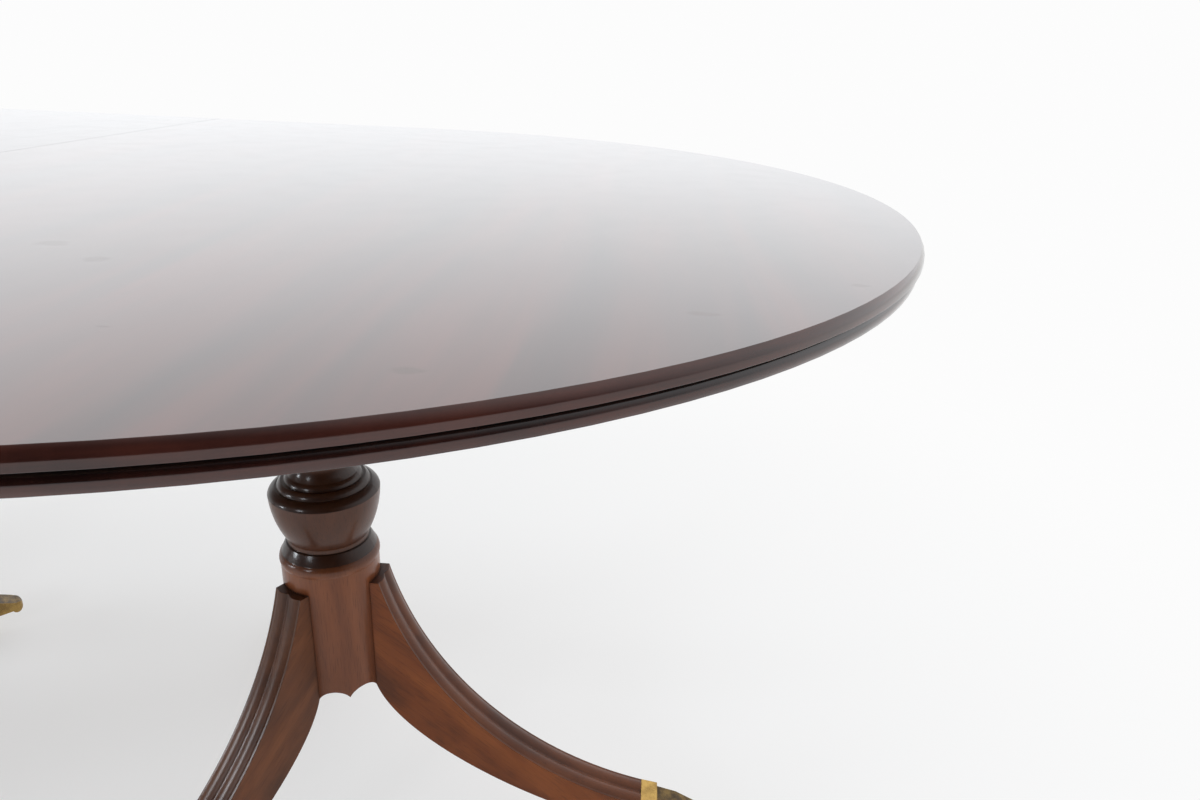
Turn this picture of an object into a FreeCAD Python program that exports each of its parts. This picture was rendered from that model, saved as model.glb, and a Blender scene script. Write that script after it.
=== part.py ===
"""Triple pedestal dining table with sabre legs on brass castors, made as its separate pieces.

Millimetres, +Z up, +X along the table. The origin is on the floor under the middle column.
"""
import FreeCAD
import Part
import math
import os
from FreeCAD import Placement, Rotation, Vector

# Whole table
table_height = 762.0
table_width = 1121.0
end_section_length = 881.8
end_column_setback = 537.0
pedestal_spacing = 937.8
section_gap = 0.5

# Top boards and their double reeded edge
top_thickness = 19.0
edge_reed_depth = 3.0
upper_crown_place = 0.85
lower_crown_place = 0.65
lower_reed_inset = 2.5
edge_quirk = 1.5
edge_quirk_depth = 0.8

# Pillar blocks and bearers under the top
pillar_block_side = 280.0
pillar_block_thickness = 34.0
pillar_block_chamfer = 6.0
bearer_length = 800.0
bearer_width = 44.0
bearer_thickness = 24.0
bearer_tip_thickness = 10.0
bearer_taper_length = 70.0
bearer_spacing_from_block = 6.0

# Turned column, heights from the floor up to the shaft's foot
block_bottom_z = 219.0
block_radius = 50.5
block_bead_height = 12.0
block_bead_swell = 2.0
shoulder_z = 385.0
shoulder_radius = 48.5
shoulder_height = 11.0
shoulder_top_radius = 43.3
shoulder_swell = 0.3
neck_z = 397.0
neck_radius = 41.5
neck_fillet = 4.0
bowl_rim_z = 452.5
bowl_rim_radius = 56.0
bowl_swell = 3.4
rim_round_height = 8.0
rim_top_radius = 48.5
rim_fullness = 1.0
cover_ring_radius = 46.5
cover_ring_height = 6.5
upper_ring_radius = 39.0
upper_ring_height = 6.0
ring_lean = 4.2
ring_swell = 0.6
shaft_foot_rise = 24.0
shaft_foot_radius = 29.0

# Upper shaft, measured down from the pillar block
shaft_head_radius = 33.0
shaft_head_drop = 52.0
collar_radius = 41.0
collar_height = 12.0
column_head_radius = 52.0
column_head_height = 14.0
column_tenon_radius = 25.0

# Arched lower rim of the column block
rim_arch_steepness = 0.6
rim_arch_inner_radius = 39.0

# Sabre legs
leg_width = 39.0
leg_top_z = 352.0
leg_ledge = 8.7
leg_top_arc_radius = 383.0
leg_toe_top_z = 74.5
leg_knee_radius = 70.0
leg_knee_z = 142.0
leg_shin_radius = 228.0
leg_shin_z = 56.0
leg_reed_depth = 2.4
leg_reed_edge = 2.5
leg_groove_width = 1.6
leg_reed_relief = 0.15
tongue_neck = 16.0
tongue_width = 22.0
tongue_depth = 18.0
tongue_top_z = 340.0

# Brass toe caps
cap_start_radius = 349.2
cap_length = 79.0
cap_floor_z = 36.0
cap_floor_thickness = 3.0
cap_cuff_length = 19.0
cap_cuff_raise = 0.6
cap_cuff_drop = 1.0
cap_cuff_round = 3.0
cap_box_width = 36.0
cap_box_top_z = 65.0
cap_brow_length = 23.0
cap_brow_z = 61.0
cap_nose_width = 29.0
cap_nose_round = 14.0
cap_nose_top_back = 8.0
cap_nose_top_z = 48.0
cap_nose_mid_z = 43.0
cap_nose_foot_back = 15.0
toe_tenon_length = 46.0
toe_tenon_width = 26.0
toe_tenon_cover = 4.5

# Castors
castor_setback = 45.0
castor_trail = 10.0
wheel_radius = 15.0
wheel_width = 12.0
wheel_edge_round = 2.0
axle_radius = 2.5
axle_head_radius = 3.6
axle_head_thickness = 1.0
cheek_thickness = 2.5
cheek_boss_radius = 5.5
cheek_root_front = 5.0
cheek_root_back = 7.0
horn_plate_radius = 11.0
horn_plate_thickness = 3.2
pintle_radius = 4.0
pintle_head_radius = 6.5
pintle_head_thickness = 2.0

# Iron spider plate under each column
spider_thickness = 3.0
spider_hub_radius = 30.0
spider_arm_width = 20.0
spider_arm_reach = 140.0
spider_screw_place = 0.32

# Table forks and their brass keepers at the joints
fork_offset = 280.0
fork_prong_spacing = 36.0
fork_prong_width = 10.0
fork_prong_thickness = 5.4
fork_bar_length = 14.0
fork_tab_drop = 9.0
fork_tab_width = 22.0
fork_tab_thickness = 6.0
fork_tip_past_keeper = 4.0
keeper_length = 24.0
keeper_width = 72.0
keeper_thickness = 8.0
keeper_from_joint = 8.0
keeper_screw_inset = 5.0

# Alignment pegs in the joint edges
peg_radius = 5.0
peg_offset = 380.0
peg_length_in_end = 22.0
peg_length_in_centre = 18.0
peg_tip_round = 3.0

# Wood screws
screw_head_radius = 4.0
screw_head_height = 2.6
screw_shank_radius = 2.0
screw_slot_width = 0.9
screw_slot_depth = 0.8
screw_bite = 11.0
screw_row_offset = 300.0
block_screw_inset = 30.0
hub_screw_bite = 30.0

# Clearances
swivel_gap = 0.3
running_fit = 0.05
wheel_side_gap = 0.4
peg_fit = 0.1
fork_fit = 0.3
pocket_room = 1.0
cut_past = 1.0

# Places worked out from the sizes above
half_width = table_width / 2
top_underside_z = table_height - top_thickness
block_underside_z = top_underside_z - pillar_block_thickness
joint_to_column = end_section_length - end_column_setback
joint_x = pedestal_spacing - joint_to_column
table_tip_x = pedestal_spacing + end_column_setback
round_centre_x = table_tip_x - half_width
end_azimuths = [0, 120, 240]
centre_azimuths = [45, 135, 225, 315]
leg_root_x = math.sqrt(block_radius ** 2 - (leg_width / 2) ** 2)
socket_reach = block_radius + cut_past
toe_tip_radius = cap_start_radius + cap_length
cap_box_start = cap_start_radius + cap_cuff_length
cap_slope = (cap_box_top_z - cap_brow_z) / cap_brow_length
cap_inside_z = cap_floor_z + cap_floor_thickness
castor_radius = toe_tip_radius - castor_setback
horn_top_z = cap_floor_z - swivel_gap
horn_underside_z = horn_top_z - horn_plate_thickness
cheek_inner = wheel_width / 2 + wheel_side_gap
cheek_outer = cheek_inner + cheek_thickness
keeper_far = keeper_from_joint + keeper_length
up = Vector(0, 0, 1)


def side(radius, height):
    """A point in the upright plane through the column's axis."""
    return Vector(radius, 0, height)


def line(start, end):
    return Part.makeLine(start, end)


def arc(start, middle, end):
    return Part.Arc(start, middle, end).toShape()


def face(edges):
    return Part.Face(Part.Wire(edges))


def polygon(points):
    return Part.Face(Part.makePolygon(points + points[:1]))


def slab(outline, width):
    """An outline in the upright plane made into a solid of this width, centred on the plane."""
    solid = outline.extrude(Vector(0, width, 0))
    solid.translate(Vector(0, -width / 2, 0))
    return solid


def box(x_range, y_range, z_range):
    size = [high - low for low, high in (x_range, y_range, z_range)]
    return Part.makeBox(*size, Vector(x_range[0], y_range[0], z_range[0]))


def cylinder(radius, low, high, x=0, y=0):
    return Part.makeCylinder(radius, high - low, Vector(x, y, low), up)


def turned(shape, degrees):
    """A copy turned about the upright axis through the origin."""
    copy = shape.copy()
    copy.rotate(Vector(0, 0, 0), up, degrees)
    return copy


def moved(shape, x=0, y=0, z=0):
    copy = shape.copy()
    copy.translate(Vector(x, y, z))
    return copy


def joined(shapes):
    return shapes[0].fuse(shapes[1:]).removeSplitter()


def top_edge_profile():
    """Edges of the double reeded edge from the upper arris down to the underside, at a distance
    from the middle. Each reed is fullest below its own middle, and the lower one stands back."""
    reed_height = (top_thickness - edge_quirk) / 2

    def reed(outer, top_z, crown_place):
        crown_drop = reed_height * crown_place
        radius = (crown_drop ** 2 + edge_reed_depth ** 2) / (2 * edge_reed_depth)
        undercut = radius - math.sqrt(radius ** 2 - (reed_height - crown_drop) ** 2)
        return arc(Vector(0, outer - edge_reed_depth, top_z), Vector(0, outer, top_z - crown_drop),
                   Vector(0, outer - undercut, top_z - reed_height))

    upper = reed(half_width, table_height, upper_crown_place)
    lower = reed(half_width - lower_reed_inset, top_underside_z + reed_height, lower_crown_place)
    quirk_start = upper.Vertexes[-1].Point
    quirk_end = lower.Vertexes[0].Point
    quirk_y = quirk_end.y - edge_quirk_depth
    quirk_points = [
        quirk_start,
        Vector(0, quirk_y, quirk_start.z),
        Vector(0, quirk_y, quirk_end.z),
        quirk_end,
    ]
    quirk = [line(*ends) for ends in zip(quirk_points, quirk_points[1:])]
    return [upper] + quirk + [lower]


def top_half_section():
    """Half of the top's cross section, from the middle line to the reeded edge."""
    profile = top_edge_profile()
    upper_middle = Vector(0, 0, table_height)
    lower_middle = Vector(0, 0, top_underside_z)
    edges = [line(upper_middle, profile[0].Vertexes[0].Point)]
    edges += profile
    edges.append(line(profile[-1].Vertexes[-1].Point, lower_middle))
    edges.append(line(lower_middle, upper_middle))
    return face(edges)


def straight_top(start_x, end_x):
    """A straight run of top with both long edges reeded."""
    half = moved(top_half_section(), x=start_x).extrude(Vector(end_x - start_x, 0, 0))
    return joined([half, half.mirror(Vector(0, 0, 0), Vector(0, 1, 0))])


def round_top():
    """The half round end of the top."""
    section = top_half_section()
    half_round = section.revolve(Vector(0, 0, 0), up, -180)
    return moved(half_round, x=round_centre_x)


def column_body():
    """The turned column with its tenon, before the leg sockets are cut."""
    cover_z = bowl_rim_z + rim_round_height
    upper_ring_z = cover_z + cover_ring_height
    cavetto_z = upper_ring_z + upper_ring_height
    shaft_foot_z = cavetto_z + shaft_foot_rise
    head_z = block_underside_z - column_head_height
    collar_z = block_underside_z - shaft_head_drop
    bowl_foot_z = neck_z + neck_fillet
    bead_z = shoulder_z - block_bead_height
    bead_middle = side((block_radius + shoulder_radius) / 2 + block_bead_swell, (bead_z + shoulder_z) / 2)
    shoulder_top_z = shoulder_z + shoulder_height
    shoulder_middle = side((shoulder_radius + shoulder_top_radius) / 2 + shoulder_swell,
                           (shoulder_z + shoulder_top_z) / 2)
    bowl_middle = side((neck_radius + bowl_rim_radius) / 2 + bowl_swell,
                       (bowl_foot_z + bowl_rim_z) / 2)
    rim_middle = side((bowl_rim_radius + rim_top_radius) / 2 + rim_fullness,
                      bowl_rim_z + rim_round_height / 2 + rim_fullness)
    cover_top_radius = cover_ring_radius - ring_lean
    cover_middle = side((cover_ring_radius + cover_top_radius) / 2 + ring_swell,
                        cover_z + cover_ring_height / 2 + ring_swell)
    upper_top_radius = upper_ring_radius - ring_lean
    upper_middle = side((upper_ring_radius + upper_top_radius) / 2 + ring_swell,
                        upper_ring_z + upper_ring_height / 2 + ring_swell)
    cavetto_middle = side(shaft_foot_radius + (upper_top_radius - shaft_foot_radius) / 4,
                          cavetto_z + shaft_foot_rise / 3)
    collar_middle = side(collar_radius, collar_z + collar_height / 2)
    flare_foot_z = collar_z + collar_height
    flare_middle = side(shaft_head_radius + (column_head_radius - shaft_head_radius) / 4,
                        flare_foot_z + (head_z - flare_foot_z) * 2 / 3)
    edges = [
        line(side(0, block_bottom_z), side(block_radius, block_bottom_z)),
        line(side(block_radius, block_bottom_z), side(block_radius, bead_z)),
        arc(side(block_radius, bead_z), bead_middle, side(shoulder_radius, shoulder_z)),
        arc(side(shoulder_radius, shoulder_z), shoulder_middle, side(shoulder_top_radius, shoulder_top_z)),
        line(side(shoulder_top_radius, shoulder_top_z), side(neck_radius, neck_z)),
        line(side(neck_radius, neck_z), side(neck_radius, bowl_foot_z)),
        arc(side(neck_radius, bowl_foot_z), bowl_middle, side(bowl_rim_radius, bowl_rim_z)),
        arc(side(bowl_rim_radius, bowl_rim_z), rim_middle, side(rim_top_radius, cover_z)),
        line(side(rim_top_radius, cover_z), side(cover_ring_radius, cover_z)),
        arc(side(cover_ring_radius, cover_z), cover_middle, side(cover_top_radius, upper_ring_z)),
        line(side(cover_top_radius, upper_ring_z), side(upper_ring_radius, upper_ring_z)),
        arc(side(upper_ring_radius, upper_ring_z), upper_middle, side(upper_top_radius, cavetto_z)),
        arc(side(upper_top_radius, cavetto_z), cavetto_middle, side(shaft_foot_radius, shaft_foot_z)),
        line(side(shaft_foot_radius, shaft_foot_z), side(shaft_head_radius, collar_z)),
        arc(side(shaft_head_radius, collar_z), collar_middle, side(shaft_head_radius, flare_foot_z)),
        arc(side(shaft_head_radius, flare_foot_z), flare_middle, side(column_head_radius, head_z)),
        line(side(column_head_radius, head_z), side(column_head_radius, block_underside_z)),
        line(side(column_head_radius, block_underside_z), side(column_tenon_radius, block_underside_z)),
        line(side(column_tenon_radius, block_underside_z), side(column_tenon_radius, top_underside_z)),
        line(side(column_tenon_radius, top_underside_z), side(0, top_underside_z)),
        line(side(0, top_underside_z), side(0, block_bottom_z)),
    ]
    return face(edges).revolve(Vector(0, 0, 0), up, 360)


def tongue_prism(outer_radius):
    """The dovetail that slides up into the column, tapering out to this radius."""
    inner_radius = block_radius - tongue_depth
    growth = (tongue_width - tongue_neck) / tongue_depth
    outer_width = tongue_width - growth * (outer_radius - inner_radius)
    plan = polygon([
        Vector(inner_radius, -tongue_width / 2, block_bottom_z),
        Vector(outer_radius, -outer_width / 2, block_bottom_z),
        Vector(outer_radius, outer_width / 2, block_bottom_z),
        Vector(inner_radius, tongue_width / 2, block_bottom_z),
    ])
    return plan.extrude(Vector(0, 0, tongue_top_z - block_bottom_z))


def rim_arches(azimuths):
    """Pairs of arches between the legs, meeting in a point midway."""
    sector = 360 / len(azimuths)
    leg_angle = 2 * math.degrees(math.asin(leg_width / 2 / block_radius))
    arch_angle = (sector - leg_angle) / 2
    half_chord = block_radius * math.sin(math.radians(arch_angle / 2))
    rise = rim_arch_steepness * half_chord
    arch_radius = (half_chord ** 2 + rise ** 2) / (2 * rise)
    start = side(rim_arch_inner_radius, block_bottom_z + rise - arch_radius)
    reach = socket_reach - rim_arch_inner_radius
    cutter = Part.makeCylinder(arch_radius, reach, start, Vector(1, 0, 0))
    arches = []
    for azimuth in azimuths:
        for place in (-arch_angle / 2, arch_angle / 2):
            arches.append(turned(cutter, azimuth + sector / 2 + place))
    return arches


def make_column(azimuths):
    sockets = [turned(tongue_prism(socket_reach), azimuth) for azimuth in azimuths]
    return column_body().cut(sockets + rim_arches(azimuths))


def leg_arc():
    """Centre and outline points of the hollow curve along the leg's upper face."""
    start = side(block_radius + leg_ledge, leg_top_z)
    end = side(cap_start_radius, leg_toe_top_z)
    chord = end - start
    normal = Vector(-chord.z, 0, chord.x).normalize()
    rise = math.sqrt(leg_top_arc_radius ** 2 - (chord.Length / 2) ** 2)
    centre = (start + end) * 0.5 + normal * rise
    return start, centre - normal * leg_top_arc_radius, end, centre


def leg_underside():
    """The curve of the leg's lower face, from the column to the cap."""
    curve = Part.BezierCurve()
    curve.setPoles([
        side(leg_root_x, block_bottom_z),
        side(leg_knee_radius, leg_knee_z),
        side(leg_shin_radius, leg_shin_z),
        side(cap_start_radius, cap_floor_z),
    ])
    return curve


def leg_outline():
    """Side view of a leg, run a little into the column so that it can be shaped to it."""
    root = block_radius - tongue_depth
    start, middle, end, _ = leg_arc()
    return face([
        line(side(root, leg_top_z), start),
        arc(start, middle, end),
        line(end, side(cap_start_radius, cap_floor_z)),
        leg_underside().toShape(),
        line(side(leg_root_x, block_bottom_z), side(root, block_bottom_z)),
        line(side(root, block_bottom_z), side(root, leg_top_z)),
    ])


def leg_reed_cutter():
    """What is planed off the leg's upper face to leave two reeds, a groove and edge fillets."""
    start, _, end, centre = leg_arc()
    outward = (start - centre).normalize()
    sweep = math.degrees(outward.getAngle(end - centre))
    past_ends = 2.0
    half = leg_width / 2
    reed_outer = half - leg_reed_edge
    groove = leg_groove_width / 2
    reed_middle = (reed_outer + groove) / 2

    def at(across, depth):
        place = centre + outward * (leg_top_arc_radius + depth)
        return Vector(place.x, across, place.z)

    past_side = half + leg_reed_edge
    edges = [
        line(at(-past_side, -leg_reed_depth), at(-past_side, leg_reed_depth)),
        line(at(-past_side, leg_reed_depth), at(-reed_outer, leg_reed_depth)),
        arc(at(-reed_outer, leg_reed_depth), at(-reed_middle, leg_reed_relief),
            at(-groove, leg_reed_depth)),
        line(at(-groove, leg_reed_depth), at(groove, leg_reed_depth)),
        arc(at(groove, leg_reed_depth), at(reed_middle, leg_reed_relief),
            at(reed_outer, leg_reed_depth)),
        line(at(reed_outer, leg_reed_depth), at(past_side, leg_reed_depth)),
        line(at(past_side, leg_reed_depth), at(past_side, -leg_reed_depth)),
        line(at(past_side, -leg_reed_depth), at(-past_side, -leg_reed_depth)),
    ]
    profile = face(edges)
    across_axis = Vector(0, -1, 0)
    profile.rotate(centre, across_axis, -past_ends)
    return profile.revolve(centre, across_axis, sweep + 2 * past_ends)


def toe_tenon(room):
    """The leg's end inside the brass cap, grown all round by this much room."""
    end_x = cap_start_radius + toe_tenon_length + room
    start_top = cap_box_top_z + cap_slope * cap_cuff_length - toe_tenon_cover + room
    outline = polygon([
        side(cap_start_radius, cap_inside_z),
        side(end_x, cap_inside_z),
        side(end_x, start_top - cap_slope * toe_tenon_length),
        side(cap_start_radius, start_top),
    ])
    return slab(outline, toe_tenon_width + 2 * room)


def make_leg():
    """A sabre leg along +X with its dovetail tongue and toe tenon."""
    blank = slab(leg_outline(), leg_width)
    core = cylinder(block_radius, block_bottom_z - leg_width, leg_top_z + leg_width)
    shaped = blank.cut([core, leg_reed_cutter()])
    tongue = tongue_prism(socket_reach).common(core)
    pocket = cylinder(pintle_head_radius + pocket_room, cap_inside_z,
                      cap_inside_z + swivel_gap + pintle_head_thickness + pocket_room, x=castor_radius)
    return joined([shaped, tongue, toe_tenon(0)]).cut(pocket)


def make_cap():
    """A brass toe cap along +X: rounded nose, cuff, cavity for the toe and pintle hole."""
    nose_top = side(toe_tip_radius - cap_nose_top_back, cap_nose_top_z)
    nose_foot = side(toe_tip_radius - cap_nose_foot_back, cap_floor_z)
    brow = side(cap_box_start + cap_brow_length, cap_brow_z)
    box_back_top = side(cap_box_start, cap_box_top_z)
    box_back_foot = side(cap_box_start, cap_floor_z)
    outline = face([
        line(box_back_foot, nose_foot),
        arc(nose_foot, side(toe_tip_radius, cap_nose_mid_z), nose_top),
        line(nose_top, brow),
        line(brow, box_back_top),
        line(box_back_top, box_back_foot),
    ])
    corner_x = toe_tip_radius - cap_nose_round
    half = cap_box_width / 2
    nose_half = cap_nose_width / 2
    plan = face([
        line(Vector(cap_box_start, -half, 0), Vector(corner_x, -nose_half, 0)),
        arc(Vector(corner_x, -nose_half, 0), Vector(toe_tip_radius, 0, 0), Vector(corner_x, nose_half, 0)),
        line(Vector(corner_x, nose_half, 0), Vector(cap_box_start, half, 0)),
        line(Vector(cap_box_start, half, 0), Vector(cap_box_start, -half, 0)),
    ])
    shell = slab(outline, 2 * leg_width).common(plan.extrude(Vector(0, 0, leg_top_z)))
    cuff_top_z = leg_toe_top_z - cap_cuff_drop
    cuff_outline = polygon([
        side(cap_start_radius, cap_floor_z),
        side(cap_box_start, cap_floor_z),
        side(cap_box_start, cuff_top_z - cap_slope * cap_cuff_length),
        side(cap_start_radius, cuff_top_z),
    ])
    cuff = slab(cuff_outline, leg_width + 2 * cap_cuff_raise)
    cuff_edges = [edge for edge in cuff.Edges
                  if edge.BoundBox.ZMin > cap_inside_z and edge.BoundBox.XLength > cap_cuff_length / 2]
    cuff = cuff.makeFillet(cap_cuff_round, cuff_edges)
    hole = cylinder(pintle_radius + running_fit, cap_floor_z - cap_floor_thickness,
                    cap_inside_z + cap_floor_thickness, x=castor_radius)
    return joined([shell, cuff]).cut([toe_tenon(running_fit), hole])


def touch_point(point, centre, radius, turn):
    """Where a line from a point touches a circle in the upright plane; turn is +1 or -1."""
    toward = point - centre
    angle = turn * math.acos(radius / toward.Length)
    unit = toward * (radius / toward.Length)
    return centre + Vector(unit.x * math.cos(angle) - unit.z * math.sin(angle), 0,
                           unit.x * math.sin(angle) + unit.z * math.cos(angle))


def make_horn():
    """A castor horn with its pintle, and the axle pin riveted through its cheeks."""
    axle_centre = side(-castor_trail, wheel_radius)
    root_z = horn_underside_z + horn_plate_thickness / 2
    front = side(cheek_root_front, root_z)
    back = side(-cheek_root_back, root_z)
    boss_front = touch_point(front, axle_centre, cheek_boss_radius, -1)
    boss_back = touch_point(back, axle_centre, cheek_boss_radius, 1)
    away_from_root = (axle_centre - (front + back) * 0.5).normalize()
    boss_foot = axle_centre + away_from_root * cheek_boss_radius
    outline = face([
        line(back, front),
        line(front, boss_front),
        arc(boss_front, boss_foot, boss_back),
        line(boss_back, back),
    ])
    cheek = moved(outline.extrude(Vector(0, cheek_thickness, 0)), y=cheek_inner)
    plate = cylinder(horn_plate_radius, horn_underside_z, horn_top_z)
    head_z = cap_inside_z + swivel_gap
    pintle = cylinder(pintle_radius, horn_underside_z, head_z + pintle_head_thickness)
    head = cylinder(pintle_head_radius, head_z, head_z + pintle_head_thickness)
    other_cheek = cheek.mirror(Vector(0, 0, 0), Vector(0, 1, 0))
    across = Vector(0, 1, 0)
    pin_half = cheek_outer + axle_head_thickness
    pin = Part.makeCylinder(axle_radius, 2 * pin_half, axle_centre - across * pin_half, across)
    horn = joined([plate, pintle, head, cheek, other_cheek]).cut(pin)
    head_starts = (axle_centre - across * pin_half, axle_centre + across * cheek_outer)
    pin_pieces = [pin]
    for start in head_starts:
        pin_pieces.append(Part.makeCylinder(axle_head_radius, axle_head_thickness, start, across))
    return Part.Compound([horn, joined(pin_pieces)])


def make_wheel():
    """A castor wheel with rounded tread edges, on its axle."""
    half = wheel_width / 2
    bore = axle_radius + running_fit
    shoulder = wheel_radius - wheel_edge_round
    flat = half - wheel_edge_round
    bend = wheel_edge_round * (1 - math.sqrt(0.5))

    def at(across, radius):
        return Vector(-castor_trail, across, wheel_radius + radius)

    edges = [
        line(at(-half, bore), at(-half, shoulder)),
        arc(at(-half, shoulder), at(bend - half, wheel_radius - bend), at(-flat, wheel_radius)),
        line(at(-flat, wheel_radius), at(flat, wheel_radius)),
        arc(at(flat, wheel_radius), at(half - bend, wheel_radius - bend), at(half, shoulder)),
        line(at(half, shoulder), at(half, bore)),
        line(at(half, bore), at(-half, bore)),
    ]
    return face(edges).revolve(side(-castor_trail, wheel_radius), Vector(0, 1, 0), 360)


def screw(length, place, direction, hole=False):
    """A countersunk wood screw with its head's face at the place, or the hole that takes it."""
    head = Part.makeCone(screw_head_radius, screw_shank_radius, screw_head_height)
    solid = joined([head, cylinder(screw_shank_radius, 0, length)])
    if hole:
        solid = joined([solid, cylinder(screw_head_radius, -screw_head_height, 0)])
    else:
        half_slot = screw_slot_width / 2
        solid = solid.cut(box((-screw_head_radius, screw_head_radius), (-half_slot, half_slot),
                              (0, screw_slot_depth)))
    solid.Placement = Placement(place, Rotation(up, direction))
    return solid


def spider_blank(azimuths):
    """The spider plate before its screw holes: a hub with arms bent under the legs."""
    hub = cylinder(spider_hub_radius, block_bottom_z - spider_thickness, block_bottom_z)
    half = spider_arm_width / 2
    bar = box((0, block_radius + spider_thickness), (-half, half),
              (block_bottom_z - spider_thickness, block_bottom_z))
    lowered = leg_outline()
    lowered.translate(spider_offset())
    reach = box((leg_root_x - spider_thickness, spider_arm_reach), (-half, half), (0, block_bottom_z))
    bend = slab(lowered, spider_arm_width).common(reach)
    arm = joined([bar, bend]).cut(slab(leg_outline(), leg_width))
    arms = [turned(arm, azimuth) for azimuth in azimuths]
    return joined([hub] + arms)


def spider_offset():
    """How far the arm's lower face lies from the leg, square to the leg's mean slope there."""
    return Vector(-1, 0, -1).normalize() * spider_thickness


def spider_screws(azimuths, hole=False):
    """One screw up into the column and one into each leg."""
    screws = [screw(hub_screw_bite, side(0, block_bottom_z - spider_thickness), up, hole)]
    curve = leg_underside()
    tangent = curve.tangent(spider_screw_place)[0]
    inward = Vector(-tangent.z, 0, tangent.x).normalize()
    depth = -spider_offset().dot(inward)
    place = curve.value(spider_screw_place) - inward * depth
    for azimuth in azimuths:
        screws.append(turned(screw(depth + screw_bite, place, inward, hole), azimuth))
    return screws


def make_pillar_block():
    """The square block under the top, bored for the column's tenon."""
    half = pillar_block_side / 2
    block = box((-half, half), (-half, half), (block_underside_z, top_underside_z))
    middle_z = (block_underside_z + top_underside_z) / 2
    lower_edges = [edge for edge in block.Edges if edge.BoundBox.ZMax < middle_z]
    block = block.makeChamfer(pillar_block_chamfer, lower_edges)
    return block.cut(cylinder(column_tenon_radius, block_underside_z, top_underside_z))


def bearer_places():
    """Distances of the two bearers' middles from the column's axis."""
    offset = pillar_block_side / 2 + bearer_spacing_from_block + bearer_width / 2
    return (-offset, offset)


def make_bearer():
    """A bearer across the table with its ends thinned below."""
    half = bearer_length / 2
    low = top_underside_z - bearer_thickness
    tip = top_underside_z - bearer_tip_thickness
    outline = polygon([
        Vector(0, -half, top_underside_z),
        Vector(0, half, top_underside_z),
        Vector(0, half, tip),
        Vector(0, half - bearer_taper_length, low),
        Vector(0, bearer_taper_length - half, low),
        Vector(0, -half, tip),
    ])
    return moved(outline.extrude(Vector(bearer_width, 0, 0)), x=-bearer_width / 2)


def under_top_screws(hole=False):
    """Screws through the pillar block and the bearers, up into the top."""
    inset = pillar_block_side / 2 - block_screw_inset
    screws = []
    for x in (-inset, inset):
        for y in (-inset, inset):
            place = Vector(x, y, block_underside_z)
            screws.append(screw(pillar_block_thickness + screw_bite, place, up, hole))
    for x in bearer_places():
        for y in (-screw_row_offset, 0, screw_row_offset):
            place = Vector(x, y, top_underside_z - bearer_thickness)
            screws.append(screw(bearer_thickness + screw_bite, place, up, hole))
    return screws


def make_keeper(x):
    """A brass keeper with two channels for a fork's prongs, starting at this distance from the joint."""
    low = top_underside_z - keeper_thickness
    half = keeper_width / 2
    plate = box((x, x + keeper_length), (-half, half), (low, top_underside_z))
    channel_half = fork_prong_width / 2 + fork_fit
    channel_low = top_underside_z - fork_prong_thickness - 2 * fork_fit
    channels = []
    for y in (-fork_prong_spacing / 2, fork_prong_spacing / 2):
        channels.append(box((x, x + keeper_length), (y - channel_half, y + channel_half),
                            (channel_low, top_underside_z)))
    return plate.cut(channels)


def keeper_screws(x, hole=False):
    inset = keeper_width / 2 - keeper_screw_inset
    low = top_underside_z - keeper_thickness
    places = [Vector(x + keeper_length / 2, y, low) for y in (-inset, inset)]
    return [screw(keeper_thickness + screw_bite, place, up, hole) for place in places]


def make_fork():
    """A table fork: two prongs, a cross bar that stops at the keeper and a tab to pull."""
    high = top_underside_z - fork_fit
    low = high - fork_prong_thickness
    tip = -keeper_far - fork_tip_past_keeper
    bar_start = keeper_far + fork_fit
    bar_end = bar_start + fork_bar_length
    half = fork_prong_width / 2
    span = fork_prong_spacing / 2
    pieces = [box((bar_start, bar_end), (-span - half, span + half), (low, high))]
    for y in (-span, span):
        pieces.append(box((tip + half, bar_start), (y - half, y + half), (low, high)))
        pieces.append(cylinder(half, low, high, x=tip + half, y=y))
    tab_half = fork_tab_width / 2
    tab_start = bar_end - fork_tab_thickness
    pieces.append(box((tab_start, bar_end), (-tab_half, tab_half), (low - fork_tab_drop, high)))
    return joined(pieces)


def make_peg(extra_radius=0):
    """An alignment peg across the joint, with its free end rounded for entry."""
    radius = peg_radius + extra_radius
    start = Vector(-peg_length_in_centre - extra_radius, 0, table_height - top_thickness / 2)
    length = peg_length_in_centre + extra_radius + peg_length_in_end
    peg = Part.makeCylinder(radius, length, start, Vector(1, 0, 0))
    entry_edges = [edge for edge in peg.Edges if edge.BoundBox.XMax < start.x + peg_tip_round]
    return peg.makeFillet(peg_tip_round, entry_edges)


peg_rows = (-peg_offset, 0, peg_offset)
fork_rows = (-fork_offset, fork_offset)


def pegs_at(x, extra_radius=0):
    return [moved(make_peg(extra_radius), x=x, y=y) for y in peg_rows]


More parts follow.
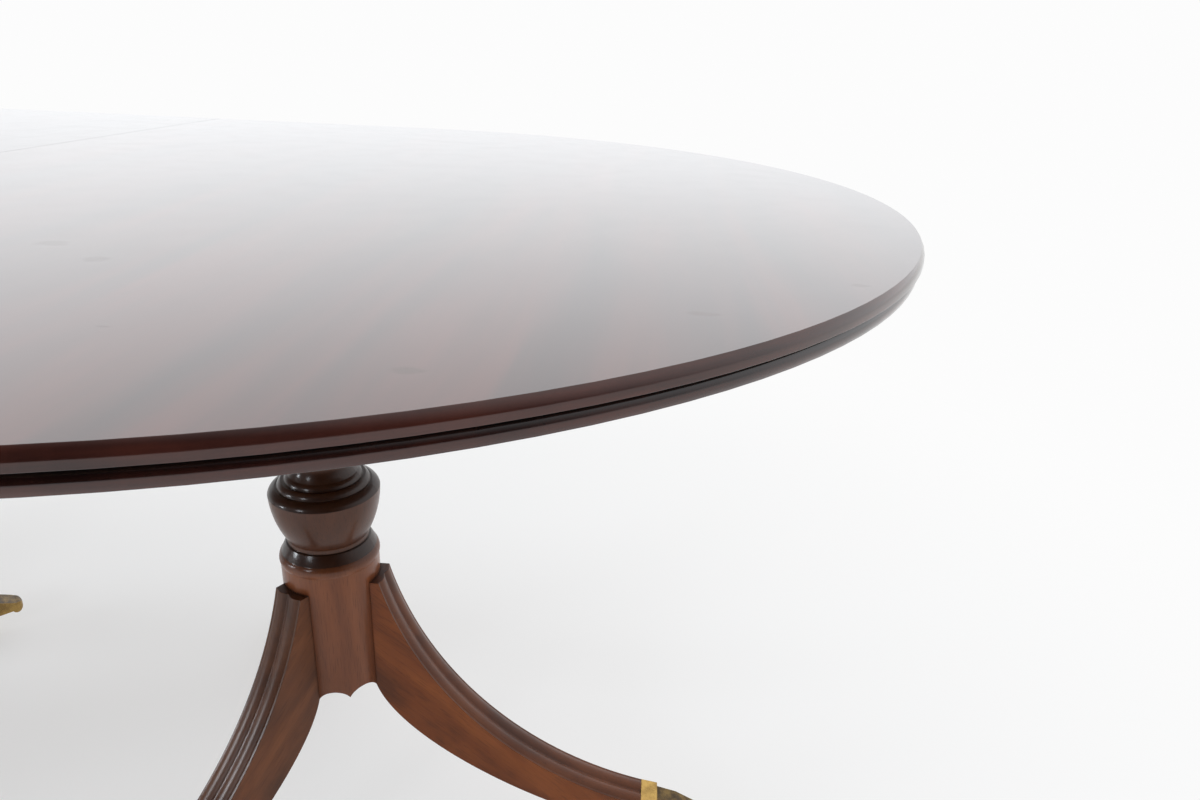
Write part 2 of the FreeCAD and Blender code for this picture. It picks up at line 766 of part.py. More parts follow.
def make_pedestal(azimuths):
    """Every piece of one pedestal about the origin: nodes by name, and its screws and screw holes."""
    screws = spider_screws(azimuths) + under_top_screws()
    spider_holes = spider_screws(azimuths, hole=True)
    top_holes = under_top_screws(hole=True)
    bearers = [moved(make_bearer(), x=x).cut(top_holes) for x in bearer_places()]
    caps = [turned(make_cap(), azimuth) for azimuth in azimuths]
    pieces = {
        "column": make_column(azimuths).cut(spider_holes[:1]),
        "pillar_block": make_pillar_block().cut(top_holes),
        "bearers": Part.Compound(bearers),
        "spider_plate": spider_blank(azimuths).cut(spider_holes),
        "toe_caps": Part.Compound(caps),
    }
    leg = make_leg()
    horn = moved(make_horn(), x=castor_radius)
    wheel = moved(make_wheel(), x=castor_radius)
    for number, azimuth in enumerate(azimuths, 1):
        pieces[f"leg_{number}"] = turned(leg, azimuth).cut(spider_holes[number])
        pieces[f"castor_horn_{number}"] = turned(horn, azimuth)
        pieces[f"castor_wheel_{number}"] = turned(wheel, azimuth)
    return pieces, screws, top_holes


def make_centre():
    """The middle unit: straight top, four legs and the fork sockets at both joints."""
    pieces, screws, top_holes = make_pedestal(centre_azimuths)
    edge_x = joint_x - section_gap
    top = straight_top(-edge_x, edge_x).cut(top_holes)
    sockets = []
    cuts = []
    for turn in (0, 180):
        cuts += [turned(peg, turn) for peg in pegs_at(joint_x, peg_fit)]
        for y in fork_rows:
            place = {"x": joint_x - keeper_far, "y": y}
            holes = Part.Compound([moved(hole, **place) for hole in keeper_screws(0, hole=True)])
            sockets.append(turned(moved(make_keeper(0), **place).cut(holes), turn))
            screws += [turned(moved(item, **place), turn) for item in keeper_screws(0)]
            cuts.append(turned(holes, turn))
    pieces["top"] = top.cut(cuts)
    pieces["fork_sockets"] = Part.Compound(sockets)
    pieces["screws"] = Part.Compound(screws)
    return pieces


def make_end():
    """The end unit at +X: half round top, three legs, forks in their guides and pegs."""
    pieces, screws, top_holes = make_pedestal(end_azimuths)
    pieces = {name: moved(shape, x=pedestal_spacing) for name, shape in pieces.items()}
    screws = [moved(item, x=pedestal_spacing) for item in screws]
    cuts = [moved(hole, x=pedestal_spacing) for hole in top_holes]
    pegs = pegs_at(joint_x)
    guides = []
    for number, y in enumerate(fork_rows, 1):
        place = {"x": joint_x, "y": y}
        holes = [moved(hole, **place) for hole in keeper_screws(keeper_from_joint, hole=True)]
        guides.append(moved(make_keeper(keeper_from_joint), **place).cut(holes))
        screws += [moved(item, **place) for item in keeper_screws(keeper_from_joint)]
        cuts += holes
        pieces[f"fork_{number}"] = moved(make_fork(), **place)
    pieces["top"] = joined([straight_top(joint_x, round_centre_x), round_top()]).cut(cuts + pegs)
    pieces["fork_guides"] = Part.Compound(guides)
    pieces["joint_pegs"] = Part.Compound(pegs)
    pieces["screws"] = Part.Compound(screws)
    return pieces


os.makedirs("parts", exist_ok=True)
end_pieces = make_end()
units = {
    "centre": make_centre(),
    "right": end_pieces,
    "left": {name: turned(shape, 180) for name, shape in end_pieces.items()},
}
for unit, unit_pieces in units.items():
    for piece_name, piece in unit_pieces.items():
        piece.exportStep(f"parts/{unit}_{piece_name}.step")
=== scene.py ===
import math
import bpy
from mathutils import Matrix, Vector


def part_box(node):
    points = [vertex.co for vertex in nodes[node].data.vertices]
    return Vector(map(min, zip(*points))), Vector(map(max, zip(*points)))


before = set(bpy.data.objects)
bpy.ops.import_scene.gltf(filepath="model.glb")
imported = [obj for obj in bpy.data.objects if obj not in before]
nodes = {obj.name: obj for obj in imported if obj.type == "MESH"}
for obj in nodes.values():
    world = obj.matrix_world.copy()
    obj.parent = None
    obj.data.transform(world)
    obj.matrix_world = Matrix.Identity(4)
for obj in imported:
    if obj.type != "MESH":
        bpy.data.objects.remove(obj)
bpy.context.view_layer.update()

# Turned columns
# Each column is one length of mahogany turned on a lathe and French polished: a plain block at the
# foot for the leg sockets, an urn with a ringed cover, and a slender shaft up to the pillar block.

unit_names = ("centre", "right", "left")
upright_grain = (0.0, math.radians(-90.0), 0.0)
column_shades = (
    (0.30, (0.165, 0.045, 0.014)),
    (0.50, (0.240, 0.070, 0.022)),
    (0.72, (0.310, 0.098, 0.034)),
)
column_worn = (0.34, 0.15, 0.07)
bead_foot_z = 0.371
block_top_z = 0.3845
urn_foot_z = 0.3855
# Painted shade levels: the bead at the top of the block is darkened, the urn above it more, and the urn's
# up-facing ledges most.
bead_painted_shade = 0.55
urn_painted_shade_level = 0.40
ledge_tilt = (0.1, 0.35)
ledge_painted_shade = 0.36
column_coat = 0.42
column_gloss = 0.16

pore_scale = 1100.0
pore_stretch = 0.06
pore_span = (0.60, 0.74)
pore_depth = 0.0003
growth_line_scale = 320.0
growth_line_stretch = 0.025
# Darkening by ambient occlusion: in the grooves dark wax with painted shade, in the corners painted shade.
wax_and_shade_levels = ((0.35, 0.12), (0.80, 1.0))
corner_shade_reach = 0.045
corner_painted_shades = ((0.35, 0.40), (0.90, 1.0))
rub_patch_scale = 45.0
rub_patch_span = (0.35, 0.7)
polish_cloud_scale = 30.0
polish_cloud_span = (0.3, 0.7)
sharp_edge_span = (0.985, 0.85)
bump_strength = 0.5
probe_rays = 4


def middle_of(node):
    low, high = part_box(node)
    return (low + high) / 2


def feed(tree, node, socket_name, value):
    """Links another node's output to the socket, or sets a plain value on it."""
    if isinstance(value, bpy.types.NodeSocket):
        tree.links.new(value, node.inputs[socket_name])
    else:
        node.inputs[socket_name].default_value = value


def add_node(tree, kind, inputs=None, **settings):
    node = tree.nodes.new(kind)
    for setting, value in settings.items():
        setattr(node, setting, value)
    for socket_name, value in (inputs or {}).items():
        feed(tree, node, socket_name, value)
    return node


def new_material(name):
    material = bpy.data.materials.new(name)
    material.use_nodes = True
    tree = material.node_tree
    return material, tree, tree.nodes["Principled BSDF"]


def paint(node, material):
    nodes[node].data.materials.clear()
    nodes[node].data.materials.append(material)


def object_place(tree):
    return add_node(tree, "ShaderNodeTexCoord").outputs["Object"]


def axis_of(tree, vector, axis):
    return add_node(tree, "ShaderNodeSeparateXYZ", {"Vector": vector}).outputs[axis]


def surface_normal(tree):
    return add_node(tree, "ShaderNodeNewGeometry").outputs["Normal"]


def arithmetic(tree, operation, first, second):
    return add_node(tree, "ShaderNodeMath", {0: first, 1: second}, operation=operation).outputs["Value"]


def times(tree, first, second):
    return arithmetic(tree, "MULTIPLY", first, second)


def vector_number(tree, operation, *vectors):
    """One number from one or two vectors, such as a length or how far they agree."""
    inputs = dict(enumerate(vectors))
    return add_node(tree, "ShaderNodeVectorMath", inputs, operation=operation).outputs["Value"]


def between(tree, value, span, results):
    """Eases from the first result to the second as the value crosses the span."""
    inputs = {"Value": value, "From Min": span[0], "From Max": span[1],
              "To Min": results[0], "To Max": results[1]}
    return add_node(tree, "ShaderNodeMapRange", inputs, interpolation_type="SMOOTHSTEP").outputs["Result"]


def ramp(tree, factor, stops):
    node = add_node(tree, "ShaderNodeValToRGB", {"Fac": factor})
    elements = node.color_ramp.elements
    while len(elements) < len(stops):
        elements.new(1.0)
    for element, (position, colour) in zip(elements, stops):
        element.position = position
        element.color = (*colour, 1.0)
    return node.outputs["Color"]


def grey_ramp(tree, factor, stops):
    return ramp(tree, factor, [(position, (grey, grey, grey)) for position, grey in stops])


def noise(tree, vector, scale, detail=3.0, roughness=0.5, distortion=0.0):
    inputs = {"Vector": vector, "Scale": scale, "Detail": detail, "Roughness": roughness,
              "Distortion": distortion}
    return add_node(tree, "ShaderNodeTexNoise", inputs).outputs["Fac"]


def mixed(tree, factor, first, second, blend="MIX"):
    inputs = {"Factor": factor, "A": first, "B": second}
    return add_node(tree, "ShaderNodeMix", inputs, data_type="RGBA", blend_type=blend).outputs["Result"]


def shaded(tree, colour, shade):
    """The colour darkened or lit by a shade, where one leaves it as it is."""
    return mixed(tree, 1.0, colour, shade, "MULTIPLY")


def grain_place(tree, centre, turn):
    """Object coordinates turned so that the grain runs along X."""
    inputs = {"Vector": object_place(tree), "Location": centre, "Rotation": turn}
    return add_node(tree, "ShaderNodeMapping", inputs, vector_type="TEXTURE").outputs["Vector"]


def scaled(tree, vector, scale):
    return add_node(tree, "ShaderNodeMapping", {"Vector": vector, "Scale": scale}).outputs["Vector"]


def stretched(tree, grain, along):
    """Grain coordinates drawn out along the grain, the more so the smaller the number."""
    return scaled(tree, grain, (along, 1.0, 1.0))


def wood_pores(tree, grain):
    """Short dark vessels along the grain, one where a vessel is open."""
    vessels = noise(tree, stretched(tree, grain, pore_stretch), pore_scale, detail=0.0)
    return between(tree, vessels, pore_span, (0.0, 1.0))


def wood_figure(tree, grain, shades, streak_scale, streak_stretch, line_strength, waviness=0.4):
    """Broad streaks of figure, crossed by fine growth lines."""
    streaks = noise(tree, stretched(tree, grain, streak_stretch), streak_scale, detail=4.0,
                    distortion=waviness)
    lines = noise(tree, stretched(tree, grain, growth_line_stretch), growth_line_scale, detail=2.0)
    line_shade = grey_ramp(tree, lines, ((0.25, 1.0 - line_strength), (0.75, 1.0 + line_strength / 2)))
    return shaded(tree, ramp(tree, streaks, shades), line_shade)


def eased_normal(tree, radius):
    """The surface's direction with its sharp edges eased to this radius."""
    return add_node(tree, "ShaderNodeBevel", {"Radius": radius}, samples=probe_rays).outputs["Normal"]


def open_air(tree, reach):
    """One on open surfaces, falling towards zero down in grooves and corners."""
    inputs = {"Distance": reach}
    return add_node(tree, "ShaderNodeAmbientOcclusion", inputs, samples=probe_rays).outputs["AO"]


def edge_rub(tree, eased):
    """How far the eased direction leaves the flat one: nothing on open faces, one on a sharp edge."""
    agreement = vector_number(tree, "DOT_PRODUCT", eased, surface_normal(tree))
    return between(tree, agreement, sharp_edge_span, (0.0, 1.0))


def bumped(tree, shader, height, depth, normal):
    inputs = {"Strength": bump_strength, "Distance": depth, "Height": height, "Normal": normal}
    feed(tree, shader, "Normal", add_node(tree, "ShaderNodeBump", inputs).outputs["Normal"])


def finish_wood(tree, shader, grain, colour, worn, pore_strength=0.2, rub=0.5, roughness=(0.32, 0.46),
                edge_radius=0.0012, wax_and_shade_reach=0.004):
    """Pores, dark wax and painted shade in the grooves, painted shade in the corners, and edges rubbed pale.

    Gives back how open the surface is, so that a coat can be thinned where the wax lies.
    """
    pores = wood_pores(tree, grain)
    pored = shaded(tree, colour, grey_ramp(tree, pores, ((0.0, 1.0), (1.0, 1.0 - pore_strength))))
    # Ambient occlusion darkens the grooves as dark wax and painted shade, and over a wider reach paints
    # shade into the corners.
    openness = open_air(tree, wax_and_shade_reach)
    waxed_and_shaded = shaded(tree, pored, grey_ramp(tree, openness, wax_and_shade_levels))
    corner_shaded = shaded(tree, waxed_and_shaded, grey_ramp(tree, open_air(tree, corner_shade_reach), corner_painted_shades))
    eased = eased_normal(tree, edge_radius)
    patches = noise(tree, grain, rub_patch_scale)
    rub_share = times(tree, openness, between(tree, patches, rub_patch_span, (rub / 4, rub)))
    rubbed = times(tree, edge_rub(tree, eased), rub_share)
    feed(tree, shader, "Base Color", mixed(tree, rubbed, corner_shaded, (*worn, 1.0)))
    bumped(tree, shader, pores, -pore_depth * pore_strength, eased)
    feed(tree, shader, "Coat Normal", eased)
    cloudy = noise(tree, grain, polish_cloud_scale)
    feed(tree, shader, "Roughness", between(tree, cloudy, polish_cloud_span, roughness))
    return openness


def polish(tree, shader, coat, gloss, body_reflection):
    """A clear coat of French polish over the wood, even or thinner in places."""
    shader.inputs["Specular IOR Level"].default_value = body_reflection
    shader.inputs["Coat Roughness"].default_value = gloss
    feed(tree, shader, "Coat Weight", coat)


for unit in unit_names:
    column = unit + "_column"
    material, tree, shader = new_material(column + "_mahogany")
    grain = grain_place(tree, middle_of(column), upright_grain)
    figure = wood_figure(tree, grain, column_shades, streak_scale=26.0, streak_stretch=0.2,
                         line_strength=0.08)
    height = axis_of(tree, object_place(tree), "Z")
    upward = axis_of(tree, surface_normal(tree), "Z")
    # Painted shade on the bead, the urn and its up-facing ledges, darkened by height and by how far the
    # surface faces up.
    urn_painted_shade = times(tree, between(tree, upward, ledge_tilt, (1.0, ledge_painted_shade)), urn_painted_shade_level)
    block_painted_shade = between(tree, height, (bead_foot_z, block_top_z), (1.0, bead_painted_shade))
    painted_shade = between(tree, height, (block_top_z, urn_foot_z), (block_painted_shade, urn_painted_shade))
    finish_wood(tree, shader, grain, shaded(tree, figure, painted_shade), column_worn, rub=0.25)
    polish(tree, shader, column_coat, column_gloss, body_reflection=0.2)
    paint(column, material)

# Sabre legs
# Each leg is sawn from the solid so that its grain follows the curve from the column to the toe,
# reeded along its upper face, polished, and slid into the column on a dovetail.

leg_counts = {"centre": 4, "right": 3, "left": 3}
leg_slope = math.radians(40.0)
leg_shades = (
    (0.36, (0.150, 0.037, 0.007)),
    (0.50, (0.255, 0.063, 0.012)),
    (0.64, (0.345, 0.092, 0.019)),
)
# Each leg's board has its own tone. The third tone, darker and bluer, is painted shade with a painted bluish
# reflection.
board_tones_and_painted_shade = (
    (1.0, 1.0, 1.0, 1.0),
    (0.85, 0.97, 1.2, 1.0),
    (0.70, 0.88, 1.40, 1.0),
    (0.9, 1.0, 1.1, 1.0),
)
leg_worn = (0.36, 0.15, 0.06)
reed_facing = (0.2, 0.6)
# The reeds, which face up, are painted darker by this factor as shade.
reed_painted_shade = 0.55
leg_coat = 0.25
reed_coat = 0.34
leg_gloss = 0.30

for unit in unit_names:
    column_middle = middle_of(unit + "_column")
    for number in range(1, leg_counts[unit] + 1):
        leg = f"{unit}_leg_{number}"
        outward = middle_of(leg) - column_middle
        bearing = math.atan2(outward.y, outward.x)
        material, tree, shader = new_material(leg + "_mahogany")
        grain = grain_place(tree, column_middle, (0.0, leg_slope, bearing))
        figure = wood_figure(tree, grain, leg_shades, streak_scale=24.0, streak_stretch=0.3,
                             line_strength=0.08)
        board_tone_and_painted_shade = shaded(tree, figure, board_tones_and_painted_shade[number - 1])
        # Painted shade: faces turned up and outward, the reeds, are darkened.
        reed_side = (math.cos(bearing), math.sin(bearing), 1.0)
        facing = vector_number(tree, "DOT_PRODUCT", surface_normal(tree), reed_side)
        painted_shade = between(tree, facing, reed_facing, (1.0, reed_painted_shade))
        finish_wood(tree, shader, grain, shaded(tree, board_tone_and_painted_shade, painted_shade), leg_worn, rub=0.3)
        coat = between(tree, facing, reed_facing, (leg_coat, reed_coat))
        polish(tree, shader, coat, leg_gloss, body_reflection=0.15)
        paint(leg, material)

# Brass toe caps and castors
# The caps, horns and wheels are cast brass. Hands and polish keep the cuffs and edges bright, and the boxes
# of the caps are brown past the cuff, most of all on what faces up.

bright_brass = (0.56, 0.36, 0.115)
dull_brass = (0.36, 0.225, 0.075)
brown_brass = (0.080, 0.058, 0.038)
tarnish_scale = 70.0
brown_patch_span = (0.75, 0.35)
brown_patch_shares = (0.72, 1.0)
brass_edge_radius = 0.0008
brass_rub_reach = 0.004
brass_rub = 0.7
brass_corner_reach = 0.006
brass_corner_shades = ((0.3, 0.35), (0.85, 1.0))
scuff_scale = 420.0
scuff_span = (0.35, 0.70)
scuff_depth = 0.00015
brass_roughness = (0.22, 0.42)
cuff_end_radii = (0.3677, 0.3697)
brown_tilt = (-0.2, 0.55)
brown_tilt_shares = (0.35, 1.0)


def aged_brass(name, browned=None):
    """Cast brass with clouds of tarnish and bright edges; browned gives how much of it is brown."""
    material, tree, shader = new_material(name)
    place = object_place(tree)
    clouds = noise(tree, place, tarnish_scale, detail=4.0, roughness=0.6)
    colour = ramp(tree, clouds, ((0.32, dull_brass), (0.60, bright_brass)))
    if browned:
        patchy = times(tree, browned(tree), between(tree, clouds, brown_patch_span, brown_patch_shares))
        colour = mixed(tree, patchy, colour, (*brown_brass, 1.0))
    eased = eased_normal(tree, brass_edge_radius)
    rubbed = times(tree, edge_rub(tree, eased), open_air(tree, brass_rub_reach))
    colour = mixed(tree, times(tree, rubbed, brass_rub), colour, (*bright_brass, 1.0))
    corners = grey_ramp(tree, open_air(tree, brass_corner_reach), brass_corner_shades)
    feed(tree, shader, "Base Color", shaded(tree, colour, corners))
    shader.inputs["Metallic"].default_value = 1.0
    scuffs = noise(tree, place, scuff_scale, roughness=0.6)
    feed(tree, shader, "Roughness", between(tree, scuffs, scuff_span, brass_roughness))
    bumped(tree, shader, scuffs, scuff_depth, eased)
    return material


def browned_box(column_middle):
    """Brown past the cuff, most of all on what faces up."""
    def browned(tree):
        level = (column_middle.x, column_middle.y, 0.0)
        flat_place = scaled(tree, object_place(tree), (1.0, 1.0, 0.0))
        radius = vector_number(tree, "DISTANCE", flat_place, level)
        past_cuff = between(tree, radius, cuff_end_radii, (0.0, 1.0))
        upward = axis_of(tree, surface_normal(tree), "Z")
        return times(tree, past_cuff, between(tree, upward, brown_tilt, brown_tilt_shares))
    return browned


castor_brass = aged_brass("castor_brass")
for unit in unit_names:
    paint(unit + "_toe_caps", aged_brass(unit + "_cap_brass", browned_box(middle_of(unit + "_column"))))
    for number in range(1, leg_counts[unit] + 1):
        paint(f"{unit}_castor_horn_{number}", castor_brass)
        paint(f"{unit}_castor_wheel_{number}", castor_brass)

# Iron spider plates
# A flat iron plate is screwed under each column, with arms bent to lie under the legs, blacked over
# the forge scale and rubbed a little along its edges.

iron_black = (0.02, 0.019, 0.018)
iron_worn = (0.07, 0.062, 0.055)
forge_scale_size = 90.0
forge_scale_span = (0.3, 0.7)
iron_roughness = (0.62, 0.42)
iron_edge_radius = 0.0006
iron_rub = 0.6
pit_scale = 260.0
pit_depth = 0.0004


def blackened_iron(name, dark, worn):
    """Dark metal with patches of scale, small pits, and edges rubbed to twice the worn colour."""
    material, tree, shader = new_material(name)
    place = object_place(tree)
    scale_marks = noise(tree, place, forge_scale_size, detail=5.0, roughness=0.65)
    colour = ramp(tree, scale_marks, tuple(zip(forge_scale_span, (dark, worn))))
    eased = eased_normal(tree, iron_edge_radius)
    bare = [2 * part for part in worn]
    colour = mixed(tree, times(tree, edge_rub(tree, eased), iron_rub), colour, (*bare, 1.0))
    feed(tree, shader, "Base Color", colour)
    shader.inputs["Metallic"].default_value = 0.8
    feed(tree, shader, "Roughness", between(tree, scale_marks, forge_scale_span, iron_roughness))
    bumped(tree, shader, noise(tree, place, pit_scale, detail=4.0), pit_depth, eased)
    return material


iron = blackened_iron("blackened_iron", iron_black, iron_worn)
for unit in unit_names:
    paint(unit + "_spider_plate", iron)

# Pillar blocks, bearers and pegs
# A square block under each section takes the column's round tenon, and two bearers run across it. They
# are plain hardwood, oiled rather than polished, glued and screwed up into the top. Short pegs of the
# same wood stand in the joint edges and keep the sections level.

lengthwise_grain = (0.0, 0.0, 0.0)
crosswise_grain = (0.0, 0.0, math.radians(90.0))
top_middle = (0.0, 0.0, 0.0)
hardwood_shades = (
    (0.30, (0.130, 0.066, 0.034)),
    (0.50, (0.180, 0.095, 0.050)),
    (0.70, (0.240, 0.132, 0.072)),
)
hardwood_worn = (0.30, 0.18, 0.10)


def plain_figure(tree, grain, shades):
    """The fine straight figure of wood that is sawn and planed but never polished."""
    return wood_figure(tree, grain, shades, streak_scale=40.0, streak_stretch=0.06, line_strength=0.18)


def oiled_hardwood(name, turn):
    material, tree, shader = new_material(name)
    grain = grain_place(tree, top_middle, turn)
    figure = plain_figure(tree, grain, hardwood_shades)
    finish_wood(tree, shader, grain, figure, hardwood_worn, pore_strength=0.45)
    polish(tree, shader, coat=0.08, gloss=0.4, body_reflection=0.3)
    return material


bearer_wood = oiled_hardwood("bearer_wood", crosswise_grain)
block_wood = oiled_hardwood("block_wood", lengthwise_grain)
for unit in unit_names:
    paint(unit + "_pillar_block", block_wood)
    paint(unit + "_bearers", bearer_wood)
paint("right_joint_pegs", block_wood)
paint("left_joint_pegs", block_wood)

# Top boards
# The three sections are mahogany with the grain across the table, double reeded round the outer edge and
# brought to a mirror with French polish, with dark wax and painted shade in the groove between the reeds and
# painted shade on the top of the lower reed under the overhang.
# The underside is left raw.

table_height = 0.762
top_shades = (
    (0.30, (0.048, 0.017, 0.016)),
    (0.50, (0.090, 0.029, 0.024)),
    (0.72, (0.180, 0.047, 0.033)),
)
mottle_scale = 70.0
mottle_stretch = 0.12
mottle_shades = ((0.34, 0.85), (0.66, 1.16))
top_worn = (0.16, 0.055, 0.036)
top_gloss = 0.03
edge_tilt = (0.95, 0.6)
edge_shades = ((0.36, (0.036, 0.012, 0.009)), (0.66, (0.105, 0.027, 0.017)))
edge_streaks = (1.0, 1.0, 14.0)
edge_streak_scale = 9.0
edge_stain = 0.75
edge_coat = 0.52
lower_reed_top_z = 0.751
# Painted shade on the top of the lower reed: faces in this tilt are darkened to this share.
slope_tilt = (0.05, 0.3)
slope_painted_shade = 0.16
groove_openness = (0.35, 0.8)
groove_coat = 0.15
polished_tilt = (-0.75, -0.55)
raw_shades = ((0.30, (0.115, 0.062, 0.036)), (0.70, (0.200, 0.115, 0.070)))
marked_unit = "right"
mark_colour = (0.105, 0.050, 0.038, 1.0)
mark_stain = 0.8
mark_coat = 0.86
mark_wander_scale = 160.0
mark_rim = (0.8, 1.6)
dull_marks = (
    (0.898, -0.274, 0.014, 0.009),
    (0.945, -0.306, 0.010, 0.009),
    (1.021, -0.420, 0.004, 0.0015),
    (1.167, -0.451, 0.009, 0.006),
    (1.289, -0.347, 0.011, 0.005),
    (1.383, -0.270, 0.007, 0.005),
)


def greatest(tree, values):
    largest = values[0]
    for value in values[1:]:
        largest = arithmetic(tree, "MAXIMUM", largest, value)
    return largest


def marked(tree, marks):
    """One inside the dull marks on the polish, each given by its place and half lengths."""
    place = object_place(tree)
    wander = noise(tree, place, mark_wander_scale)
    shares = []
    for x, y, half_x, half_y in marks:
        inputs = {"Vector": place, "Location": (x, y, table_height), "Scale": (half_x, half_y, 1.0)}
        local = add_node(tree, "ShaderNodeMapping", inputs, vector_type="TEXTURE").outputs["Vector"]
        uneven = arithmetic(tree, "ADD", vector_number(tree, "LENGTH", local), wander)
        shares.append(between(tree, uneven, mark_rim, (1.0, 0.0)))
    return greatest(tree, shares)


for unit in unit_names:
    top = unit + "_top"
    material, tree, shader = new_material(top + "_mahogany")
    grain = grain_place(tree, top_middle, crosswise_grain)
    figure = wood_figure(tree, grain, top_shades, streak_scale=16.0, streak_stretch=0.10, line_strength=0.12,
                         waviness=0.8)
    mottle = noise(tree, stretched(tree, grain, mottle_stretch), mottle_scale)
    figure = shaded(tree, figure, grey_ramp(tree, mottle, mottle_shades))
    upward = axis_of(tree, surface_normal(tree), "Z")
    height = axis_of(tree, object_place(tree), "Z")

    edge_place = scaled(tree, object_place(tree), edge_streaks)
    edge_figure = ramp(tree, noise(tree, edge_place, edge_streak_scale), edge_shades)
    # Painted shade: the up-facing top of the lower reed, under the upper reed's overhang, is darkened.
    below_groove = between(tree, height, (lower_reed_top_z, table_height), (1.0, 0.0))
    overhang_shade_share = times(tree, below_groove, between(tree, upward, slope_tilt, (0.0, 1.0)))
    edge_figure = shaded(tree, edge_figure, between(tree, overhang_shade_share, (0.0, 1.0), (1.0, slope_painted_shade)))
    over_edge = between(tree, upward, edge_tilt, (0.0, 1.0))
    colour = mixed(tree, times(tree, over_edge, edge_stain), figure, edge_figure)
    coat = between(tree, over_edge, (0.0, 1.0), (1.0, edge_coat))

    if unit == marked_unit:
        marks = marked(tree, dull_marks)
        colour = mixed(tree, times(tree, marks, mark_stain), colour, mark_colour)
        coat = times(tree, coat, between(tree, marks, (0.0, 1.0), (1.0, mark_coat)))

    polished = between(tree, upward, polished_tilt, (0.0, 1.0))
    colour = mixed(tree, polished, plain_figure(tree, grain, raw_shades), colour)
    openness = finish_wood(tree, shader, grain, colour, top_worn, pore_strength=0.04, rub=0.2,
                           roughness=(0.10, 0.15), edge_radius=0.0005, wax_and_shade_reach=0.005)
    coat = times(tree, coat, between(tree, openness, groove_openness, (groove_coat, 1.0)))
    polish(tree, shader, times(tree, coat, polished), top_gloss, body_reflection=0.35)
    paint(top, material)

# Forks, guides, sockets and screws
# Flat brass forks slide in brass guides under the end sections, and their prongs enter brass sockets
# under the middle one to lock the joints. Steel wood screws hold these fittings, the bearers, the
# blocks and the iron plates.

screw_dark = (0.10, 0.10, 0.10)
screw_worn = (0.32, 0.31, 0.30)
fitting_brass = aged_brass("fitting_brass")
for unit in ("right", "left"):
    paint(unit + "_fork_1", fitting_brass)
    paint(unit + "_fork_2", fitting_brass)
    paint(unit + "_fork_guides", fitting_brass)
paint("centre_fork_sockets", fitting_brass)
screw_steel = blackened_iron("screw_steel", screw_dark, screw_worn)
for unit in unit_names:
    paint(unit + "_screws", screw_steel)

# Studio
# A pale floor that runs out into white, a surround that is white behind the table and dark on the
# side it is seen from, and two soft window-like lamps at the near left and the far left. The lamps
# light all but the tops, whose polish would show them as hard white shapes.

white = 0.975
floor_colour = (0.86, 0.865, 0.86, 1.0)
floor_roughness = 0.7
floor_reach = 40.0
floor_near = 0.4
floor_far = 2.6
floor_white_near = 0.47


def light_path(tree, *rays):
    """One for the named kinds of ray, and zero for the others."""
    path = add_node(tree, "ShaderNodeLightPath")
    return greatest(tree, [path.outputs[ray] for ray in rays])


bpy.ops.mesh.primitive_plane_add(size=2 * floor_reach)
floor = bpy.context.object
floor.name = "studio_floor"
floor_material, tree, shader = new_material("pale_floor")
shader.inputs["Base Color"].default_value = floor_colour
shader.inputs["Roughness"].default_value = floor_roughness
distance = vector_number(tree, "LENGTH", object_place(tree))
whiteness = between(tree, distance, (floor_near, floor_far), (floor_white_near, 1.0))
share = times(tree, light_path(tree, "Is Camera Ray", "Is Glossy Ray", "Is Transmission Ray"), whiteness)
glow = add_node(tree, "ShaderNodeEmission", {"Color": (white, white, white, 1.0)}).outputs["Emission"]
blend = add_node(tree, "ShaderNodeMixShader", {0: share, 1: shader.outputs["BSDF"], 2: glow})
feed(tree, tree.nodes["Material Output"], "Surface", blend.outputs["Shader"])
floor.data.materials.append(floor_material)

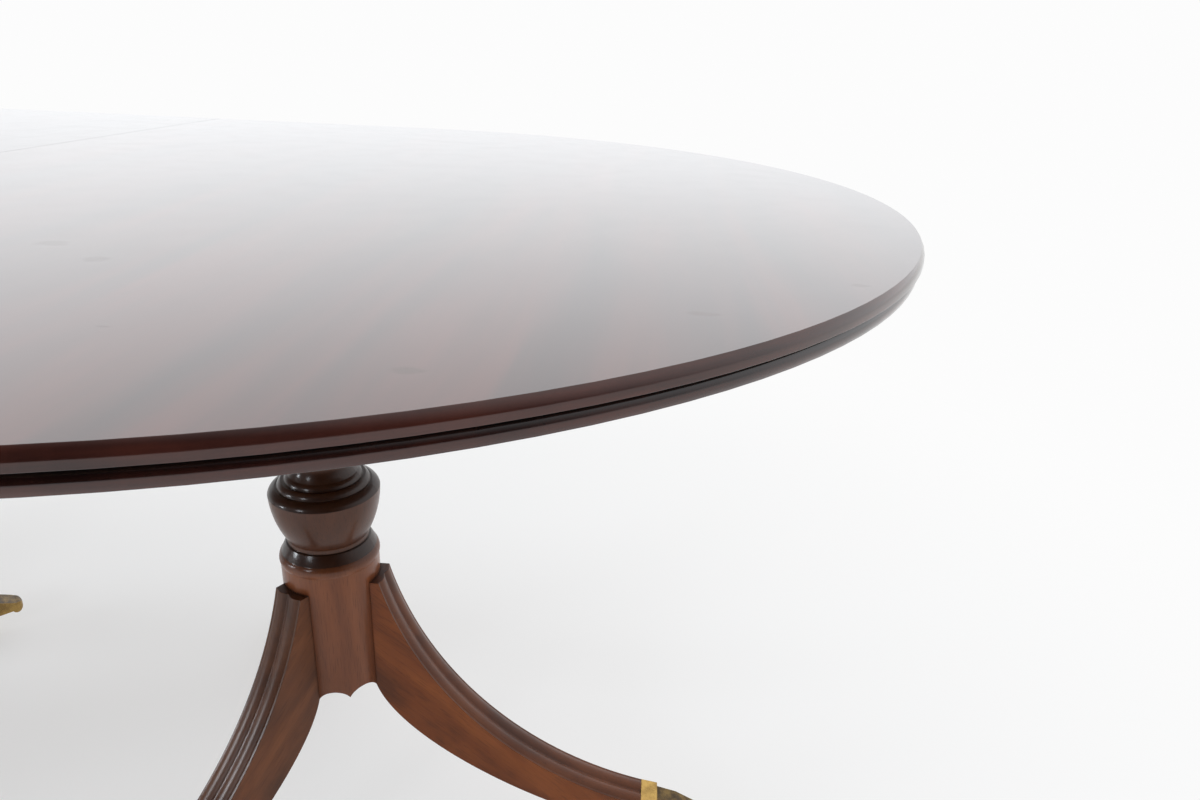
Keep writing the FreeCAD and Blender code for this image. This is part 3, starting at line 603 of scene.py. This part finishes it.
bright_side = (0.25, 0.77, 0.585)
bright_side_span = (-0.35, 0.6)
surround_levels = (0.02, 1.15)
surround_tint = (0.965, 0.98, 1.0, 1.0)
backdrop_tint = (1.0, 1.0, 1.0, 1.0)
world = bpy.data.worlds.new("white_surround")
bpy.context.scene.world = world
world.use_nodes = True
tree = world.node_tree
background = tree.nodes["Background"]
direction = add_node(tree, "ShaderNodeTexCoord").outputs["Generated"]
facing = vector_number(tree, "DOT_PRODUCT", direction, bright_side)
surround = between(tree, facing, bright_side_span, surround_levels)
seen_directly = light_path(tree, "Is Camera Ray", "Is Transmission Ray")
feed(tree, background, "Strength", between(tree, seen_directly, (0.0, 1.0), (surround, white)))
feed(tree, background, "Color", mixed(tree, light_path(tree, "Is Camera Ray"), surround_tint, backdrop_tint))

window_colour = (0.88, 0.94, 1.0)
window_target = middle_of("right_column")
window_lit = bpy.data.collections.new("window_lit")
for name, lit in nodes.items():
    if not name.endswith("_top"):
        window_lit.objects.link(lit)
window_lit.objects.link(floor)


def hang_window(name, place, width, height, power):
    """A soft lamp the shape of a window, turned towards the column at the rounded end."""
    lamp_data = bpy.data.lights.new(name, "AREA")
    lamp_data.energy = power
    lamp_data.shape = "RECTANGLE"
    lamp_data.size = width
    lamp_data.size_y = height
    lamp_data.color = window_colour
    lamp = bpy.data.objects.new(name, lamp_data)
    lamp.location = place
    lamp.rotation_euler = (window_target - place).to_track_quat("-Z", "Y").to_euler()
    lamp.visible_camera = False
    lamp.light_linking.receiver_collection = window_lit
    bpy.context.scene.collection.objects.link(lamp)


hang_window("near_window", Vector((-0.35, -2.14, 1.36)), width=0.45, height=0.45, power=8.0)
hang_window("left_window", Vector((-3.07, -1.37, 1.95)), width=0.8, height=2.2, power=180.0)

# Camera
# It stands at the near side of the rounded end, a little above the top, tilted down with a slight
# roll. Its focal length is given in pixels of the 1200 pixel wide picture.

camera_place = Vector((1.262, -0.769, 0.885))
camera_heading = math.radians(3.167)
camera_pitch = math.radians(22.31)
camera_roll = math.radians(2.36)
focal_pixels = 860.8
image_width_pixels = 1200
camera_data = bpy.data.cameras.new("photo_camera")
camera_data.lens = focal_pixels * camera_data.sensor_width / image_width_pixels
camera = bpy.data.objects.new("photo_camera", camera_data)
bpy.context.scene.collection.objects.link(camera)
camera.matrix_world = (Matrix.Translation(camera_place)
                       @ Matrix.Rotation(camera_heading, 4, "Z")
                       @ Matrix.Rotation(math.radians(90.0) - camera_pitch, 4, "X")
                       @ Matrix.Rotation(camera_roll, 4, "Z"))
bpy.context.scene.camera = camera
bpy.context.scene.view_settings.view_transform = "Standard"
